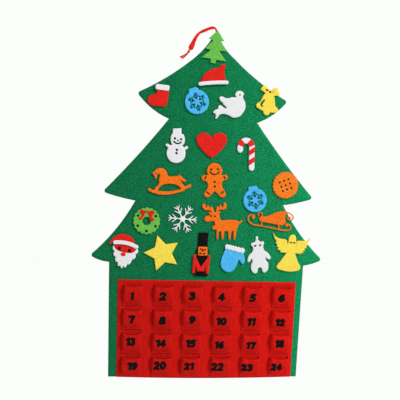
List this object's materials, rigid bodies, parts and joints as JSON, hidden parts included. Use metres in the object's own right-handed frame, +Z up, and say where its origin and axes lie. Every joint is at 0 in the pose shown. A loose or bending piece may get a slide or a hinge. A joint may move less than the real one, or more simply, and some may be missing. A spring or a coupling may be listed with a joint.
{
  "type": "felt advent calendar",
  "caption": "Tree-shaped felt advent calendar to hang on a wall, with a grid of open-topped numbered pockets below and pull-off felt ornaments above.",
  "frame": {"origin": "on the flat back of the backing felt, on its centre line at half its height", "axes": "+X across to the right seen from the front, +Y into the wall, +Z up"},
  "size_m": [0.6664, 0.0229, 1.0109],
  "materials": {
    "backing_felt": "matte felt",
    "panel_felt": "matte felt",
    "light_green_felt": "matte felt",
    "red_felt": "matte felt",
    "blue_felt": "matte felt",
    "orange_felt": "matte felt",
    "biscuit_felt": "matte felt",
    "yellow_felt": "matte felt",
    "white_felt": "matte felt",
    "black_felt": "matte felt",
    "ribbon_satin": "satin"
  },
  "bodies": {
    "wall_hanging": {"tree_backing": "backing_felt", "pocket_panel": "panel_felt", "pocket_01": "panel_felt", "pocket_02": "panel_felt", "pocket_03": "panel_felt", "pocket_04": "panel_felt", "pocket_05": "panel_felt", "pocket_06": "panel_felt", "pocket_07": "panel_felt", "pocket_08": "panel_felt", "pocket_09": "panel_felt", "pocket_10": "panel_felt", "pocket_11": "panel_felt", "pocket_12": "panel_felt", "pocket_13": "panel_felt", "pocket_14": "panel_felt", "pocket_15": "panel_felt", "pocket_16": "panel_felt", "pocket_17": "panel_felt", "pocket_18": "panel_felt", "pocket_19": "panel_felt", "pocket_20": "panel_felt", "pocket_21": "panel_felt", "pocket_22": "panel_felt", "pocket_23": "panel_felt", "pocket_24": "panel_felt", "ribbon_back_strand": "ribbon_satin", "ribbon_front_strand": "ribbon_satin", "ribbon_knot": "ribbon_satin"},
    "fir_tree_ornament": {"fir_tree": "light_green_felt"},
    "red_hat_ornament": {"red_hat": "red_felt", "red_hat_brim": "white_felt"},
    "stocking_ornament": {"stocking": "red_felt", "stocking_cuff": "white_felt"},
    "left_bauble_ornament": {"left_bauble": "blue_felt"},
    "dove_ornament": {"dove": "white_felt"},
    "bell_ornament": {"bell": "yellow_felt"},
    "snowman_ornament": {"snowman": "white_felt"},
    "heart_ornament": {"heart": "red_felt"},
    "candy_cane_ornament": {"candy_cane": "white_felt"},
    "rocking_horse_ornament": {"rocking_horse": "orange_felt"},
    "gingerbread_ornament": {"gingerbread": "orange_felt"},
    "biscuit_ornament": {"biscuit": "biscuit_felt"},
    "right_bauble_ornament": {"right_bauble": "blue_felt"},
    "wreath_ornament": {"wreath": "light_green_felt", "wreath_bow": "red_felt"},
    "snowflake_ornament": {"snowflake": "white_felt"},
    "reindeer_ornament": {"reindeer": "orange_felt"},
    "sleigh_ornament": {"sleigh": "orange_felt"},
    "bearded_face_ornament": {"bearded_face": "white_felt", "bearded_face_hat": "red_felt", "bearded_face_brim": "white_felt"},
    "star_ornament": {"star": "yellow_felt"},
    "toy_soldier_ornament": {"toy_soldier": "black_felt", "toy_soldier_coat": "red_felt", "toy_soldier_face": "orange_felt"},
    "mitten_ornament": {"mitten": "blue_felt", "mitten_cuff": "white_felt"},
    "bear_ornament": {"bear": "white_felt"},
    "angel_ornament": {"angel": "yellow_felt"}
  },
  "joints": [
    {"name": "pull_off_fir_tree", "type": "slide", "parent": "wall_hanging", "child": "fir_tree_ornament", "axis": [0, -1, 0], "range_m": [0, 0.05]},
    {"name": "pull_off_red_hat", "type": "slide", "parent": "wall_hanging", "child": "red_hat_ornament", "axis": [0, -1, 0], "range_m": [0, 0.05]},
    {"name": "pull_off_stocking", "type": "slide", "parent": "wall_hanging", "child": "stocking_ornament", "axis": [0, -1, 0], "range_m": [0, 0.05]},
    {"name": "pull_off_left_bauble", "type": "slide", "parent": "wall_hanging", "child": "left_bauble_ornament", "axis": [0, -1, 0], "range_m": [0, 0.05]},
    {"name": "pull_off_dove", "type": "slide", "parent": "wall_hanging", "child": "dove_ornament", "axis": [0, -1, 0], "range_m": [0, 0.05]},
    {"name": "pull_off_bell", "type": "slide", "parent": "wall_hanging", "child": "bell_ornament", "axis": [0, -1, 0], "range_m": [0, 0.05]},
    {"name": "pull_off_snowman", "type": "slide", "parent": "wall_hanging", "child": "snowman_ornament", "axis": [0, -1, 0], "range_m": [0, 0.05]},
    {"name": "pull_off_heart", "type": "slide", "parent": "wall_hanging", "child": "heart_ornament", "axis": [0, -1, 0], "range_m": [0, 0.05]},
    {"name": "pull_off_candy_cane", "type": "slide", "parent": "wall_hanging", "child": "candy_cane_ornament", "axis": [0, -1, 0], "range_m": [0, 0.05]},
    {"name": "pull_off_rocking_horse", "type": "slide", "parent": "wall_hanging", "child": "rocking_horse_ornament", "axis": [0, -1, 0], "range_m": [0, 0.05]},
    {"name": "pull_off_gingerbread", "type": "slide", "parent": "wall_hanging", "child": "gingerbread_ornament", "axis": [0, -1, 0], "range_m": [0, 0.05]},
    {"name": "pull_off_biscuit", "type": "slide", "parent": "wall_hanging", "child": "biscuit_ornament", "axis": [0, -1, 0], "range_m": [0, 0.05]},
    {"name": "pull_off_right_bauble", "type": "slide", "parent": "wall_hanging", "child": "right_bauble_ornament", "axis": [0, -1, 0], "range_m": [0, 0.05]},
    {"name": "pull_off_wreath", "type": "slide", "parent": "wall_hanging", "child": "wreath_ornament", "axis": [0, -1, 0], "range_m": [0, 0.05]},
    {"name": "pull_off_snowflake", "type": "slide", "parent": "wall_hanging", "child": "snowflake_ornament", "axis": [0, -1, 0], "range_m": [0, 0.05]},
    {"name": "pull_off_reindeer", "type": "slide", "parent": "wall_hanging", "child": "reindeer_ornament", "axis": [0, -1, 0], "range_m": [0, 0.05]},
    {"name": "pull_off_sleigh", "type": "slide", "parent": "wall_hanging", "child": "sleigh_ornament", "axis": [0, -1, 0], "range_m": [0, 0.05]},
    {"name": "pull_off_bearded_face", "type": "slide", "parent": "wall_hanging", "child": "bearded_face_ornament", "axis": [0, -1, 0], "range_m": [0, 0.05]},
    {"name": "pull_off_star", "type": "slide", "parent": "wall_hanging", "child": "star_ornament", "axis": [0, -1, 0], "range_m": [0, 0.05]},
    {"name": "pull_off_toy_soldier", "type": "slide", "parent": "wall_hanging", "child": "toy_soldier_ornament", "axis": [0, -1, 0], "range_m": [0, 0.05]},
    {"name": "pull_off_mitten", "type": "slide", "parent": "wall_hanging", "child": "mitten_ornament", "axis": [0, -1, 0], "range_m": [0, 0.05]},
    {"name": "pull_off_bear", "type": "slide", "parent": "wall_hanging", "child": "bear_ornament", "axis": [0, -1, 0], "range_m": [0, 0.05]},
    {"name": "pull_off_angel", "type": "slide", "parent": "wall_hanging", "child": "angel_ornament", "axis": [0, -1, 0], "range_m": [0, 0.05]}
  ]
}
